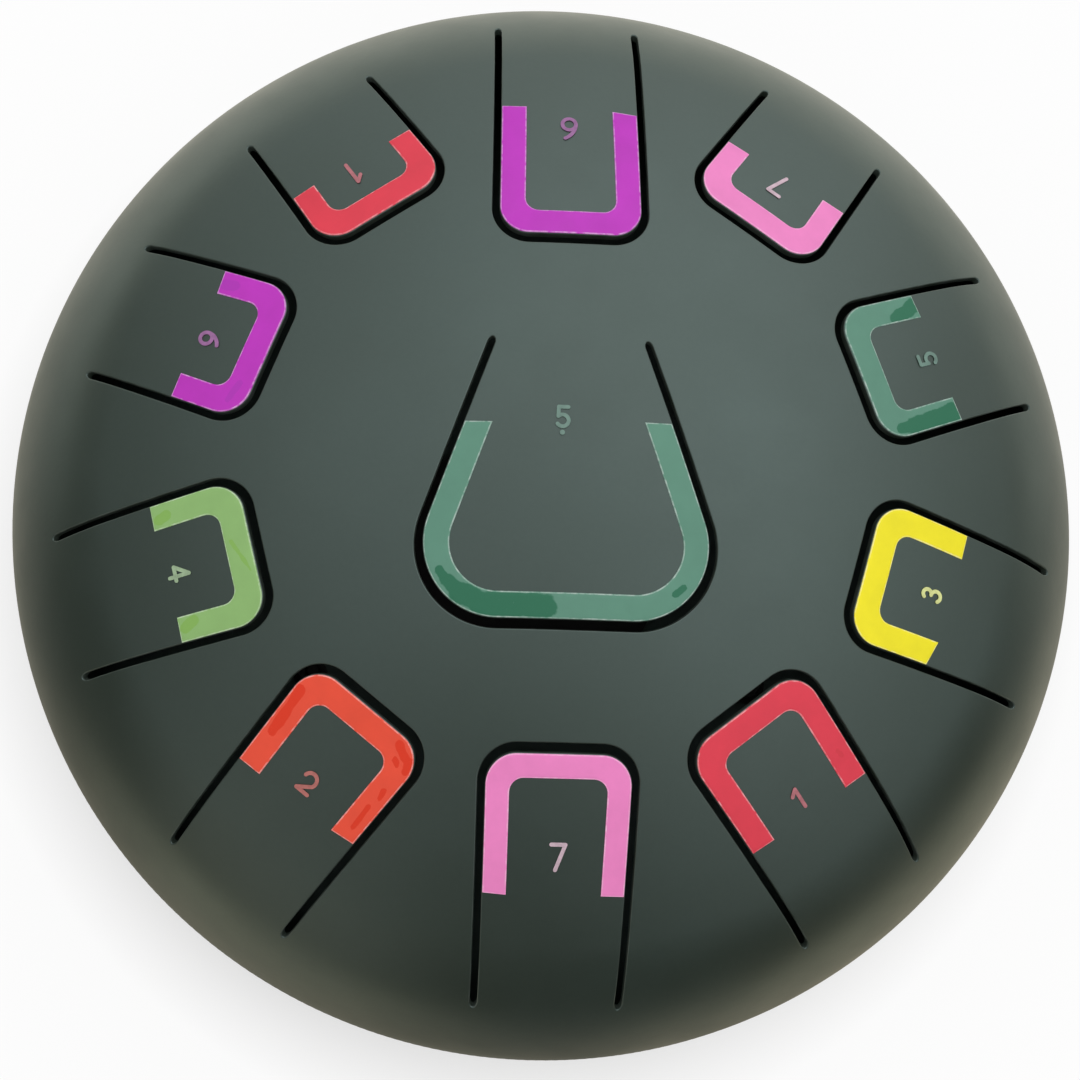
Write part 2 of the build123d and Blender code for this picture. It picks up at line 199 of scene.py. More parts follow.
class Dish:
    """A round dished head.

    Flat coordinates unroll it: the distance from their origin is the arc from the apex.
    """

    def __init__(self, radius, rise, shoulder, up):
        self.rise = rise
        self.shoulder = shoulder
        self.up = up
        self.shoulder_centre = radius - shoulder
        chord = self.shoulder_centre**2 + rise**2 - shoulder**2
        self.crown = chord / (2 * (rise - shoulder))
        self.join = math.asin(self.shoulder_centre / (self.crown - shoulder))
        self.join_arc = self.crown * self.join
        self.rim_arc = self.join_arc + shoulder * (math.pi / 2 - self.join)

    def arc_at(self, distance):
        """Arc length from the apex at a distance from the axis."""
        on_crown = distance < self.crown * math.sin(self.join)
        crown_slope = np.arcsin(np.clip(distance / self.crown, 0, 1))
        shoulder_slope = np.arcsin(np.clip((distance - self.shoulder_centre) / self.shoulder, 0, 1))
        past_join = self.join_arc + self.shoulder * (shoulder_slope - self.join)
        return np.where(on_crown, self.crown * crown_slope, past_join)

    def section(self, arc):
        """Distance from the axis, height above the rim and slope at an arc length."""
        on_crown = arc < self.join_arc
        slope = np.where(on_crown, arc / self.crown, self.join + (arc - self.join_arc) / self.shoulder)
        shoulder_distance = self.shoulder_centre + self.shoulder * np.sin(slope)
        distance = np.where(on_crown, self.crown * np.sin(slope), shoulder_distance)
        crown_height = self.rise - self.crown * (1 - np.cos(slope))
        height = np.where(on_crown, crown_height, self.shoulder * np.cos(slope))
        return distance, height, slope

    def unroll(self, plan):
        """Flat coordinates of points given in plan."""
        distance = np.linalg.norm(plan, axis=1)
        stretch = self.arc_at(distance) / np.maximum(distance, TINY)
        return plan * np.where(distance < TINY, 1.0, stretch)[:, None]

    def surface(self, flat, depth):
        """Points and outward normals at flat coordinates, a depth below the outside."""
        arc = np.linalg.norm(flat, axis=1)
        around = flat / np.maximum(arc, TINY)[:, None]
        distance, height, slope = self.section(arc)
        normal = np.column_stack((around * np.sin(slope)[:, None], self.up * np.cos(slope)))
        point = np.column_stack((around * distance[:, None], RIM_Z + self.up * height))
        return point - normal * np.reshape(depth, (-1, 1)), normal


UPPER = Dish(DRUM_RADIUS, UPPER_RISE, UPPER_SHOULDER, 1)
LOWER = Dish(DRUM_RADIUS, LOWER_DEPTH, LOWER_SHOULDER, -1)


@dataclass
class Tongue:
    """One tongue in plan. Positions run along its own line, at an angle from +X, out from the axis.

    arm_ends lengthens the band's arms: the outer and inner edge of the first arm, then of the second.
    patches are dark streaks in the film: distance from the tip and across, for each end, then half the width.
    """

    name: str
    vinyl: str
    angle: float
    root: float
    length: float
    band_reach: float
    tip_width: float = 32.0
    root_width: float = 30.6
    corner: float = 6.7
    band_width: float = BAND_WIDTH
    band_inner_corner: float = 3.0
    arm_ends: tuple = (0.0, 0.0, 0.0, 0.0)
    patches: tuple = ()

    @property
    def tip(self):
        """Position of the free end."""
        return self.root - self.length

    @property
    def taper(self):
        """Angle between each side and the tongue's line."""
        return math.atan2((self.tip_width - self.root_width) / 2, self.length)

    def half_width(self, position, grow):
        """Half the width at a position, with each side moved outwards by grow."""
        along = (self.root - position) / self.length
        plain = self.root_width + (self.tip_width - self.root_width) * along
        return plain / 2 + grow / math.cos(self.taper)

    def plan(self, local):
        """Plan coordinates of points given along and across the tongue."""
        turn = math.radians(self.angle)
        along = np.array((math.cos(turn), math.sin(turn)))
        across = np.array((-math.sin(turn), math.cos(turn)))
        local = np.atleast_2d(local)
        return local[:, :1] * along + local[:, 1:] * across


TONGUES = [
    Tongue(
        "low_5",
        "vinyl_green",
        angle=90.0,
        root=28.1,
        length=60.5,
        band_reach=42.4,
        tip_width=75.4,
        root_width=32.8,
        corner=16.4,
        band_inner_corner=10.5,
        arm_ends=(0.0, 0.0, 0.9, 0.9),
        patches=(
            (2.9, 4.8, 2.9, 18.0, 2.7),
            (3.3, 18.0, 5.4, 22.8, 2.3),
            (5.4, 22.8, 7.8, 25.4, 1.7),
            (7.8, 25.4, 10.0, 27.0, 1.0),
            (6.2, -23.6, 7.9, -25.4, 0.8),
        ),
    ),
    Tongue(
        "low_6",
        "vinyl_purple",
        angle=90.0,
        root=110.9,
        length=56.7,
        band_reach=33.2,
        arm_ends=(0.2, 0.2, -1.0, -0.3),
    ),
    Tongue(
        "low_7",
        "vinyl_pink",
        angle=-90.0,
        root=113.3,
        length=53.0,
        band_reach=29.9,
        band_width=5.1,
        arm_ends=(-0.1, -0.1, -0.4, 0.0),
    ),
    Tongue(
        "1",
        "vinyl_red",
        angle=-51.7,
        root=113.5,
        length=49.9,
        band_reach=27.2,
        arm_ends=(0.2, 0.0, -0.9, -0.5),
        patches=((19.6, 12.6, 21.0, 13.0, 0.5),),
    ),
    Tongue(
        "2",
        "vinyl_orange",
        angle=231.7,
        root=113.6,
        length=47.9,
        band_reach=25.6,
        arm_ends=(-1.4, -0.7, 0.1, 0.0),
        patches=(
            (2.0, 9.6, 3.4, 12.4, 0.9),
            (3.6, 13.6, 5.6, 14.4, 0.9),
            (5.0, 11.0, 5.8, 12.2, 0.5),
            (11.6, 13.4, 13.4, 13.8, 0.6),
            (16.0, 13.0, 21.4, 13.2, 0.6),
            (6.5, -14.2, 17.0, -13.4, 1.1),
        ),
    ),
    Tongue(
        "3",
        "vinyl_yellow",
        angle=-14.7,
        root=112.9,
        length=44.1,
        band_reach=22.2,
        arm_ends=(-0.2, -0.2, -2.2, -0.7),
    ),
    Tongue(
        "4",
        "vinyl_light_green",
        angle=194.7,
        root=111.6,
        length=42.1,
        band_reach=19.8,
        arm_ends=(-0.3, -0.4, 0.3, 0.4),
        patches=(
            (16.0, 11.6, 18.2, 12.6, 1.2),
            (17.0, -12.6, 18.8, -12.0, 1.1),
            (4.4, -3.0, 1.6, 4.2, 0.45),
        ),
    ),
    Tongue(
        "5",
        "vinyl_green",
        angle=21.2,
        root=110.5,
        length=39.9,
        band_reach=20.5,
        arm_ends=(-0.3, 0.0, 0.3, 0.0),
        patches=(
            (8.5, -14.0, 20.0, -13.2, 2.2),
            (5.0, -13.6, 8.5, -13.8, 1.3),
            (14.2, 10.9, 19.6, 12.8, 1.8),
        ),
    ),
    Tongue(
        "6",
        "vinyl_purple",
        angle=158.8,
        root=107.5,
        length=36.9,
        band_reach=17.3,
        arm_ends=(-0.6, -0.5, 0.0, -0.5),
        patches=((13.6, -12.8, 15.8, -12.2, 1.3), (3.2, 8.0, 4.2, 12.4, 0.7)),
    ),
    Tongue(
        "7",
        "vinyl_pink",
        angle=55.8,
        root=106.6,
        length=34.2,
        band_reach=17.0,
        arm_ends=(-1.3, -1.1, 0.8, 0.4),
    ),
    Tongue(
        "high_1",
        "vinyl_red",
        angle=124.2,
        root=105.0,
        length=32.7,
        band_reach=15.6,
        arm_ends=(-0.6, -0.4, -0.5, -0.6),
    ),
]


def line_points(start, end, step):
    """Evenly spaced points from start to end, both included."""
    start = np.array(start, float)
    end = np.array(end, float)
    count = max(2, int(round(np.linalg.norm(end - start) / step)) + 1)
    return start + np.linspace(0, 1, count)[:, None] * (end - start)


def half_outline(tongue, side_grow, tip_grow, corner, start):
    """Points and outward directions from a start position on one side to the middle of the tip."""
    lean = tongue.taper
    outward = np.array((math.sin(lean), math.cos(lean)))
    tip = tongue.tip - tip_grow
    centre_across = tongue.half_width(tip, side_grow) - corner * (1 + math.sin(lean)) / math.cos(lean)
    centre = np.array((tip + corner, centre_across))
    side = line_points((start, tongue.half_width(start, side_grow)), centre + corner * outward, EDGE_STEP)
    steps = max(MIN_CORNER_STEPS, int(corner * (math.pi / 2 + lean) / CORNER_STEP))
    turn = np.linspace(math.pi / 2 - lean, math.pi, steps)
    bend = np.column_stack((np.cos(turn), np.sin(turn)))
    middle = line_points((tip, centre_across), (tip, 0.0), EDGE_STEP)
    points = np.vstack((side[:-1], centre + corner * bend, middle[1:]))
    side_facing = np.tile(outward, (len(side) - 1, 1))
    tip_facing = np.tile((-1.0, 0.0), (len(middle) - 1, 1))
    facing = np.vstack((side_facing, bend, tip_facing))
    return points, facing


def both_halves(first, second):
    """One path from the first half's start, round the tip, to the start of the mirrored second half."""
    mirrored = second[-2::-1] * np.array((1.0, -1.0))
    return np.vstack((first, mirrored))


def slit_edge(tongue, on_shell):
    """One edge of a tongue's slit in plan, from one slit end round the tip to the other.

    Returns the points, the directions into the metal, and the points of the root line back to the start.
    """
    radius = SIDE_SLIT / 2
    lean = tongue.taper
    outward = np.array((math.sin(lean), math.cos(lean)))
    back = np.array((math.cos(lean), -math.sin(lean)))
    side = 1 if on_shell else -1
    centre = np.array((tongue.root, tongue.half_width(tongue.root, radius)))
    quarter = np.linspace(0, math.pi / 2, SLIT_END_STEPS)[:-1, None]
    end_facing = back * np.cos(quarter) + side * outward * np.sin(quarter)
    end_points = SLIT_POINT * back * np.cos(quarter) ** SLIT_POINT_POWER + side * outward * np.sin(quarter)
    side_grow = SIDE_SLIT if on_shell else 0.0
    tip_grow = TIP_SLIT if on_shell else 0.0
    start = (centre + side * radius * outward)[0]
    points, facing = half_outline(tongue, side_grow, tip_grow, tongue.corner + side_grow, start)
    points = np.vstack((centre + radius * end_points, points))
    into_metal = np.vstack((end_facing, side * facing))
    root_end = centre + (SLIT_POINT * radius + CUT_EDGE) * back
    root = line_points(root_end * np.array((1.0, -1.0)), root_end, EDGE_STEP)[1:-1]
    return (
        tongue.plan(both_halves(points, points)),
        tongue.plan(both_halves(into_metal, into_metal)),
        tongue.plan(root),
    )


def inside(points, loop):
    """Which flat points lie inside a closed loop."""
    found = np.zeros(len(points), bool)
    near = np.all((points > loop.min(0)) & (points < loop.max(0)), axis=1)
    x, y = points[near].T
    within = np.zeros(len(x), bool)
    for (x0, y0), (x1, y1) in zip(loop, np.roll(loop, -1, axis=0)):
        if y0 == y1:
            continue
        crosses = (y0 > y) != (y1 > y)
        within ^= crosses & (x < (x1 - x0) * (y - y0) / (y1 - y0) + x0)
    found[near] = within
    return found


def filled(loops, step):
    """Points and triangles that fill the first loop, apart from the other loops, in flat coordinates."""
    outer = loops[0]
    edge_points = np.vstack(loops)
    tree = KDTree(len(edge_points))
    for index, (x, y) in enumerate(edge_points):
        tree.insert((x, y, 0), index)
    tree.balance()
    low = outer.min(0)
    high = outer.max(0)
    rows = np.arange(low[1], high[1], step * math.sqrt(3) / 2)
    grid = []
    for row, y in enumerate(rows):
        xs = np.arange(low[0] + (row % 2) * step / 2, high[0], step)
        grid.append(np.column_stack((xs, np.full(len(xs), y))))
    grid = np.vstack(grid)
    keep = inside(grid, outer)
    for hole in loops[1:]:
        keep &= ~inside(grid, hole)
    grid = grid[keep]
    clear = [tree.find((x, y, 0))[2] > EDGE_CLEARANCE * step for x, y in grid]
    points = np.vstack((edge_points, grid[np.array(clear)]))
    edges = []
    first = 0
    for loop in loops:
        count = len(loop)
        edges += [(first + i, first + (i + 1) % count) for i in range(count)]
        first += count
    made = delaunay_2d_cdt([Vector(point) for point in points], edges, [], 0, MERGE_DISTANCE, True)
    source = [ids[0] for ids in made[3]]
    triangles = np.array([[source[v] for v in face] for face in made[2] if len(face) == 3])
    corner_1, corner_2, corner_3 = (points[triangles[:, k]] for k in range(3))
    side_1 = corner_2 - corner_1
    side_2 = corner_3 - corner_1
    turning = side_1[:, 0] * side_2[:, 1] - side_1[:, 1] * side_2[:, 0]
    triangles[turning < 0] = triangles[turning < 0][:, ::-1]
    middle = (corner_1 + corner_2 + corner_3) / 3
    keep = inside(middle, outer) & (np.abs(turning) > TINY)
    for hole in loops[1:]:
        keep &= ~inside(middle, hole)
    return points, triangles[keep]


def mesh_object(name, points, faces, normals=None):
    """A smooth-shaded mesh object from points in millimetres."""
    mesh = bpy.data.meshes.new(name)
    mesh.from_pydata((np.asarray(points) * MM).tolist(), [], faces)
    mesh.shade_smooth()
    if normals is not None:
        mesh.normals_split_custom_set_from_vertices(np.asarray(normals).tolist())
    made = bpy.data.objects.new(name, mesh)
    bpy.context.scene.collection.objects.link(made)
    return made


def point_values(piece, name, values):
    """Stores one number on each point of a piece, for its material to read."""
    store = piece.data.attributes.new(name, "FLOAT", "POINT")
    store.data.foreach_set("value", np.asarray(values, np.float32))


def edge_point(degrees, centre_depth):
    """Offset from the cut, depth and turn of the normal at a point of a cut's rounded edge."""
    turn = math.radians(degrees)
    return CUT_EDGE * (1 - math.sin(turn)), centre_depth - CUT_EDGE * math.cos(turn), turn


# Down the cut, round its upper edge and then its lower one
EDGE_PROFILE = [edge_point(degrees, CUT_EDGE) for degrees in (0, 30, 60, 90)]
EDGE_PROFILE += [edge_point(degrees, SHEET - CUT_EDGE) for degrees in (90, 120, 150, 180)]


def sheet_piece(name, cuts, step, rim=None):
    """A closed piece of the upper sheet.

    With a rim the cuts are openings in it. Without one the single cut is the piece's own outline. Each cut is
    the result of slit_edge.
    """
    loops = [] if rim is None else [rim]
    for points, into_metal, root in cuts:
        edge = UPPER.unroll(points + CUT_EDGE * into_metal)
        loops.append(np.vstack((edge, UPPER.unroll(root))))
    flat, triangles = filled(loops, step)
    top, normal = UPPER.surface(flat, 0.0)
    bottom, _ = UPPER.surface(flat, SHEET)
    count = len(flat)
    vertices = [top, bottom]
    normals = [normal, -normal]
    worn = [np.zeros(count), np.zeros(count)]
    faces = triangles.tolist() + (triangles[:, ::-1] + count).tolist()
    total = 2 * count
    first = 0
    if rim is not None:
        for i in range(len(rim)):
            j = (i + 1) % len(rim)
            faces.append((i, i + count, j + count, j))
        first = len(rim)
    for (points, into_metal, root), loop in zip(cuts, loops[-len(cuts) :]):
        length = len(points)
        rows = [np.arange(first, first + length)]
        for offset, depth, turn in EDGE_PROFILE[1:-1]:
            place, up = UPPER.surface(UPPER.unroll(points + offset * into_metal), depth)
            into = np.column_stack((into_metal, np.zeros(length)))
            into -= up * np.sum(into * up, axis=1)[:, None]
            into /= np.linalg.norm(into, axis=1)[:, None]
            vertices.append(place)
            normals.append(up * math.cos(turn) - into * math.sin(turn))
            worn.append(np.ones(length))
            rows.append(np.arange(total, total + length))
            total += length
        rows.append(np.arange(first, first + length) + count)
        for upper, lower in zip(rows[:-1], rows[1:]):
            for i in range(length - 1):
                quad = (upper[i], lower[i], lower[i + 1], upper[i + 1])
                faces.append(tuple(int(v) for v in (quad if rim is None else quad[::-1])))
        root_line = [first + length - 1, *range(first + length, first + len(loop)), first]
        for k, (i, j) in enumerate(zip(root_line[:-1], root_line[1:])):
            before = [int(row[-1]) for row in rows[1:-1]] if k == 0 else []
            after = [int(row[0]) for row in rows[-2:0:-1]] if k == len(root_line) - 2 else []
            wall = (i, *before, i + count, j + count, *after, j)
            faces.append(wall if rim is None else wall[::-1])
        first += len(loop)
    piece = mesh_object(name, np.vstack(vertices), faces, np.vstack(normals))
    point_values(piece, "cut_edge", np.concatenate(worn))
    return piece


def lathe(name, profile, steps, ripple=None):
    """A closed ring turned about the drum's axis from a closed profile of distances and heights."""
    turn = np.linspace(0, 2 * math.pi, steps, endpoint=False)
    distance, height = np.array(profile).T
    spread = np.tile(distance[:, None], (1, steps))
    if ripple is not None:
        spread += ripple(turn)
    x = spread * np.cos(turn)
    y = spread * np.sin(turn)
    z = np.tile(height[:, None], (1, steps))
    points = np.column_stack((x.ravel(), y.ravel(), z.ravel()))
    faces = []
    rows = len(profile)
    for row in range(rows):
        after = (row + 1) % rows
        for i in range(steps):
            j = (i + 1) % steps
            faces.append((row * steps + i, row * steps + j, after * steps + j, after * steps + i))
    piece = mesh_object(name, points, faces)
    piece.data.set_sharp_from_angle(angle=math.radians(LATHE_SHARP))
    point_values(piece, "cut_edge", np.zeros(len(points)))
    return piece


def band_outline(tongue):
    """Closed outline of a vinyl band in plan, going round the metal to its left."""
    end = tongue.tip + tongue.band_reach
    grow = (-BAND_INSET, -BAND_INSET - tongue.band_width)
    corner = (tongue.corner - BAND_INSET, tongue.band_inner_corner)
    paths = []
    for side in range(2):
        halves = []
        for arm in range(2):
            arm_end = end + tongue.arm_ends[2 * arm + side]
            half, _ = half_outline(tongue, grow[side], grow[side], corner[side], arm_end)
            halves.append(half)
        paths.append(both_halves(*halves))
    outer, inner = paths
    last_end = line_points(outer[-1], inner[-1], EDGE_STEP)[1:-1]
    first_end = line_points(inner[0], outer[0], EDGE_STEP)[1:-1]
    return np.vstack((outer, last_end, inner[::-1], first_end))


def shrunk(loop, amount):
    """A closed loop, going round to the left, moved inwards by a small amount."""
    before = loop - np.roll(loop, 1, axis=0)
    after = np.roll(loop, -1, axis=0) - loop
    before /= np.linalg.norm(before, axis=1)[:, None]
    after /= np.linalg.norm(after, axis=1)[:, None]
    left = np.column_stack((-(before + after)[:, 1], (before + after)[:, 0]))
    size = np.sum(left * left, axis=1)[:, None]
    return loop + amount * 2 * left / np.maximum(size, MITRE_LIMIT)


def patch_strength(tongue, local):
    """How dark the film is at points along and across a tongue.

    It is 1 in the middle of a patch and 0 away from it.
    """
    strength = np.zeros(len(local))
    for first_along, first_across, last_along, last_across, half_width in tongue.patches:
        first = np.array((tongue.tip + first_along, first_across))
        run = np.array((tongue.tip + last_along, last_across)) - first
        share = np.clip((local - first) @ run / (run @ run), 0, 1)
        away = np.linalg.norm(local - first - share[:, None] * run, axis=1)
        strength = np.maximum(strength, np.clip(PATCH_REACH - away / half_width, 0, 1))
    return strength


def band_piece(tongue):
    """The vinyl band of a tongue: a film with a bevelled cut edge."""
    local = band_outline(tongue)
    outline = UPPER.unroll(tongue.plan(local))
    top_loop = shrunk(outline, VINYL_BEVEL)
    flat, triangles = filled([top_loop], BAND_STEP)
    count = len(flat)
    rim = len(outline)
    bottom_flat = flat.copy()
    bottom_flat[:rim] = outline
    top, _ = UPPER.surface(flat, -ADHESIVE - VINYL)
    bottom, _ = UPPER.surface(bottom_flat, -ADHESIVE)
    side_loop = shrunk(outline, BEVEL_SIDE_INSET * VINYL_BEVEL)
    side, _ = UPPER.surface(side_loop, -ADHESIVE - BEVEL_SIDE_HEIGHT * VINYL)
    faces = triangles.tolist() + (triangles[:, ::-1] + count).tolist()
    plain = len(faces)
    for i in range(rim):
        j = (i + 1) % rim
        faces.append((i, 2 * count + i, 2 * count + j, j))
        faces.append((2 * count + i, count + i, count + j, 2 * count + j))
    points = np.vstack((top, bottom, side))
    piece = mesh_object("vinyl_band_" + tongue.name, points, faces)
    piece.data.set_sharp_from_angle(angle=math.radians(FILM_SHARP))
    edge = np.zeros(len(faces), np.int32)
    edge[plain:] = 1
    piece.data.polygons.foreach_set("material_index", edge)
    turn = math.radians(tongue.angle)
    along = points[:, :2] @ np.array((math.cos(turn), math.sin(turn)))
    across = points[:, :2] @ np.array((-math.sin(turn), math.cos(turn)))
    point_values(piece, "patch", patch_strength(tongue, np.column_stack((along, across))))
    return piece


class Nodes:
    """Adds nodes to a tree and joins them. add returns the new node's outputs, the others one of them."""

    def __init__(self, tree):
        self.tree = tree
        tree.nodes.clear()

    def add(self, kind, inputs=None, **settings):
        made = self.tree.nodes.new("ShaderNode" + kind)
        for name, value in settings.items():
            setattr(made, name, value)
        for name, value in (inputs or {}).items():
            if isinstance(value, bpy.types.NodeSocket):
                self.tree.links.new(value, made.inputs[name])
            else:
                made.inputs[name].default_value = value
        return made.outputs

    def place(self):
        """Position in the shared frame, in metres."""
        return self.add("TexCoord")["Object"]

    def attribute(self, name):
        """A number stored on the points of the piece."""
        return self.add("Attribute", attribute_name=name)["Fac"]

    def noise(self, place, scale, detail=2.0, roughness=0.5):
        sockets = {"Vector": place, "Scale": scale, "Detail": detail, "Roughness": roughness}
        return self.add("TexNoise", sockets)["Fac"]

    def remap(self, value, span, to):
        """A value with its span stretched to another, and held at the ends."""
        sockets = {"Value": value, "From Min": span[0], "From Max": span[1], "To Min": to[0], "To Max": to[1]}
        return self.add("MapRange", sockets)["Result"]

    def clouds(self, place, scale, to, detail=2.0, roughness=0.5, span=NOISE_SPAN):
        """Noise stretched from its span to another."""
        return self.remap(self.noise(place, scale, detail, roughness), span, to)

    def mix(self, share, first, second, blend="MIX"):
        sockets = {MIX_SHARE: share, MIX_FIRST: first, MIX_SECOND: second}
        return self.add("Mix", sockets, data_type="RGBA", blend_type=blend)[MIX_RESULT]

    def tinted(self, tint, level):
        """A colour times a level."""
        grey_level = self.add("CombineColor", {"Red": level, "Green": level, "Blue": level})["Color"]
        return self.mix(1.0, tint, grey_level, "MULTIPLY")

    def math(self, operation, first, second=0.0):
        return self.add("Math", {0: first, 1: second}, operation=operation)["Value"]

    def measure(self, operation, first, second=(0.0, 0.0, 0.0)):
        """A number worked out from two vectors."""
        return self.add("VectorMath", {0: first, 1: second}, operation=operation)["Value"]

    def bump(self, height, distance, normal=None):
        sockets = {"Height": height, "Distance": distance, "Strength": 1.0}
        if normal is not None:
            sockets["Normal"] = normal
        return self.add("Bump", sockets)["Normal"]

    def surface(self, inputs):
        """A Principled shader as the whole surface."""
        shader = self.add("BsdfPrincipled", inputs)["BSDF"]
        self.add("OutputMaterial", {"Surface": shader})


def new_material(name):
    made = bpy.data.materials.new(name)
    made.use_nodes = True
    return made, Nodes(made.node_tree)


def grey(level):
    return (level, level, level, 1)


def paint():
    """Satin paint, drifting between a greener and a bluer slate, with fine orange peel, worn on cut edges."""
    made, nodes = new_material("satin_paint")
    place = nodes.place()
    drift = nodes.clouds(place, scale=16.0, to=(0, 1), detail=3.0, roughness=0.55, span=(0.32, 0.68))
    colour = nodes.mix(drift, PAINT_GREEN, PAINT_BLUE)
    grain = nodes.clouds(place, scale=900.0, to=(0.93, 1.07), detail=3.0, roughness=0.6)
    colour = nodes.tinted(colour, grain)
    chips = nodes.clouds(place, scale=240.0, to=(0.0, 0.8), span=(0.35, 0.7))
    chipped = nodes.math("MULTIPLY", nodes.attribute("cut_edge"), chips)
    colour = nodes.mix(chipped, colour, PAINT_EDGE)
    roughness = nodes.clouds(place, scale=45.0, to=(0.36, 0.44), detail=4.0, roughness=0.6)
    normal = nodes.bump(nodes.noise(place, scale=620.0, roughness=0.4), ORANGE_PEEL)
    normal = nodes.bump(nodes.noise(place, scale=2600.0), PAINT_SPECKS, normal)
    nodes.surface(
        {
            "Base Color": colour,
            "Roughness": roughness,
            "Normal": normal,
            "IOR": PAINT_IOR,
            "Specular Tint": PAINT_SHEEN,
        }
    )
    return made


def vinyl(slot, on_numeral=False):
    """Coloured adhesive film, slightly uneven; on a numeral the fine unevenness is a painted glint. A band is
    darker where it has wetted out on the paint.
    """
    made, nodes = new_material(slot + ("_numeral_film" if on_numeral else "_film"))
    place = nodes.place()
    pale = NUMERAL_COLOURS_WITH_GLINT[slot] if on_numeral else VINYL_COLOURS[slot]
    shade_share = 0.7 if on_numeral else 0.9
    shade = [shade_share * channel for channel in pale]
    # On a numeral this fine change between a deeper and a paler tone is a painted glint; on a band it is
    # uneven tone
    tone_and_glint_scale = 700.0 if on_numeral else 120.0
    tone_and_glint = nodes.clouds(place, tone_and_glint_scale, to=(0, 1), detail=4.0, roughness=0.6)
    colour = nodes.mix(tone_and_glint, (*shade, 1), (*pale, 1))
    if not on_numeral:
        ragged = nodes.clouds(place, scale=260.0, to=(-0.22, 0.22), detail=3.0)
        ragged_patch = nodes.math("ADD", nodes.attribute("patch"), ragged)
        wet = nodes.remap(ragged_patch, span=(0.44, 0.58), to=(0, 1))
        colour = nodes.mix(wet, colour, (*WET_COLOURS[slot], 1))
    flecks = nodes.clouds(place, scale=1500.0, to=(0.0, 0.35), span=(0.70, 0.78))
    colour = nodes.mix(flecks, colour, (*shade, 1))
    roughness = nodes.clouds(place, scale=260.0, to=(0.38, 0.50), detail=3.0, roughness=0.6)
    normal = nodes.bump(nodes.noise(place, scale=180.0, detail=3.0), FILM_RIPPLE)
    normal = nodes.bump(nodes.noise(place, scale=1300.0), FILM_GRAIN, normal)
    nodes.surface(
        {
            "Base Color": colour,
            "Roughness": roughness,
            "Normal": normal,
            "Specular IOR Level": VINYL_GLOSS,
        }
    )
    return made


def vinyl_edge_highlight(slot):
    """The knife-cut edge of the film, with a patchy painted highlight that makes it paler than its face."""
    made, nodes = new_material(slot + "_cut")
    place = nodes.place()
    base = VINYL_COLOURS[slot]
    pale = [channel + (1 - channel) * CUT_HIGHLIGHT_PALENESS for channel in base]
    # Patchy painted highlight along the cut edge
    patchy_highlight = nodes.clouds(place, scale=700.0, to=(0, 1), detail=3.0, roughness=0.6, span=(0.35, 0.65))
    colour = nodes.mix(patchy_highlight, (*base, 1), (*pale, 1))
    roughness = nodes.clouds(place, scale=1800.0, to=(0.35, 0.55))
    normal = nodes.bump(nodes.noise(place, scale=2200.0), CUT_GRAIN)
    nodes.surface({"Base Color": colour, "Roughness": roughness, "Normal": normal})
    return made


def rubber():
    """Moulded black rubber with a fine bloom, dusty close to the floor."""
    made, nodes = new_material("foot_rubber")
    place = nodes.place()
    bloom = nodes.clouds(place, scale=90.0, to=(0, 1), detail=4.0, roughness=0.6)
    colour = nodes.mix(bloom, grey(RUBBER_BLACK), grey(RUBBER_BLOOM))
    height = nodes.add("SeparateXYZ", {"Vector": place})["Z"]
    near_floor = nodes.remap(height, span=(0.0, DUST_HEIGHT), to=(0.6, 0.0))
    specks = nodes.clouds(place, scale=600.0, to=(0, 1), detail=3.0, span=(0.4, 0.65))
    colour = nodes.mix(nodes.math("MULTIPLY", near_floor, specks), colour, DUST)
    roughness = nodes.clouds(place, scale=400.0, to=(0.62, 0.78), detail=3.0)
    normal = nodes.bump(nodes.noise(place, scale=1500.0, detail=3.0, roughness=0.6), RUBBER_GRAIN)
    nodes.surface({"Base Color": colour, "Roughness": roughness, "Normal": normal})
    return made


def dark_steel():
    """Black-oxide steel with an oily, slightly blotched skin."""
    made, nodes = new_material("dark_steel")
    place = nodes.place()
    blotch = nodes.clouds(place, scale=350.0, to=(0, 1), detail=4.0, roughness=0.6)
    colour = nodes.mix(blotch, OXIDE_BLUE, OXIDE_BROWN)
    roughness = nodes.clouds(place, scale=900.0, to=(0.34, 0.48), detail=3.0)
    normal = nodes.bump(nodes.noise(place, scale=2400.0), STEEL_GRAIN)
    nodes.surface({"Base Color": colour, "Metallic": 1.0, "Roughness": roughness, "Normal": normal})
    return made


def dress(piece, *materials):
    """Gives a piece these materials and no others."""
    if len(piece.data.materials) > 0:
        piece.data.materials.clear()
    for material in materials:
        piece.data.materials.append(material)


PAINT = paint()
FILMS = {slot: vinyl(slot) for slot in VINYL_COLOURS}
CUT_HIGHLIGHT_FILMS = {slot: vinyl_edge_highlight(slot) for slot in VINYL_COLOURS}
NUMERAL_FILMS = {slot: vinyl(slot, True) for slot in VINYL_COLOURS}

# The upper shell, with an opening round every tongue
rim_turn = np.linspace(0, 2 * math.pi, RIM_STEPS, endpoint=False)
rim_reach = UPPER.rim_arc - WELD_WIDTH / 2
rim_loop = rim_reach * np.column_stack((np.cos(rim_turn), np.sin(rim_turn)))
openings = [slit_edge(tongue, True) for tongue in TONGUES]
shell = sheet_piece("upper_sheet", openings, SHELL_STEP, rim_loop)
dress(shell, PAINT)
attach(shell, "drum")
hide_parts("upper_shell")
